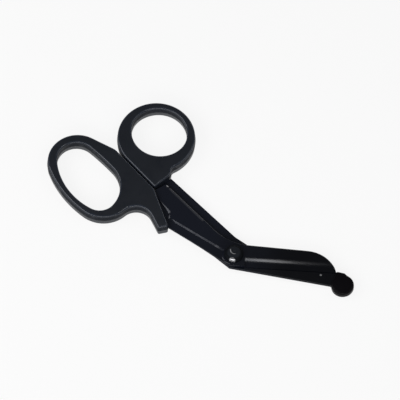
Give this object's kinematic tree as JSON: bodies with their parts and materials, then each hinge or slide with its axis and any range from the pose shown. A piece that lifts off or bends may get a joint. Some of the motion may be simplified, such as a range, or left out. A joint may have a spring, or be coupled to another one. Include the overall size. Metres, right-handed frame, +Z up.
{
  "type": "bandage scissors",
  "caption": "Angled bandage scissors in black steel with a blunt guard on the serrated lower blade, a domed pivot rivet and moulded finger and thumb loops.",
  "frame": {"origin": "under the middle of the whole outline, on the plane of the loops' undersides", "axes": "+X towards the blades' tip along the greatest length, +Y towards the thumb loop, +Z up out of the face that carries the rivet's domed head"},
  "size_m": [0.1908, 0.0832, 0.0091],
  "materials": {
    "blade_steel": "satin black coating over ground steel",
    "handle_plastic": "satin black moulded plastic with a fine grain",
    "guard_plastic": "smooth black moulded plastic",
    "rivet_steel": "glossy black plated steel"
  },
  "bodies": {
    "finger_piece": {"upper_blade": "blade_steel", "finger_handle": "handle_plastic", "pivot_rivet": "rivet_steel", "rivet_washer": "rivet_steel"},
    "thumb_piece": {"lower_blade": "blade_steel", "thumb_handle": "handle_plastic", "safety_tip": "guard_plastic"}
  },
  "joints": [
    {"name": "pivot", "type": "hinge", "parent": "finger_piece", "child": "thumb_piece", "pos_m": [0.026, -0.02905, 0.0042], "axis": [0, 0, -1], "range_deg": [0, 70]}
  ]
}
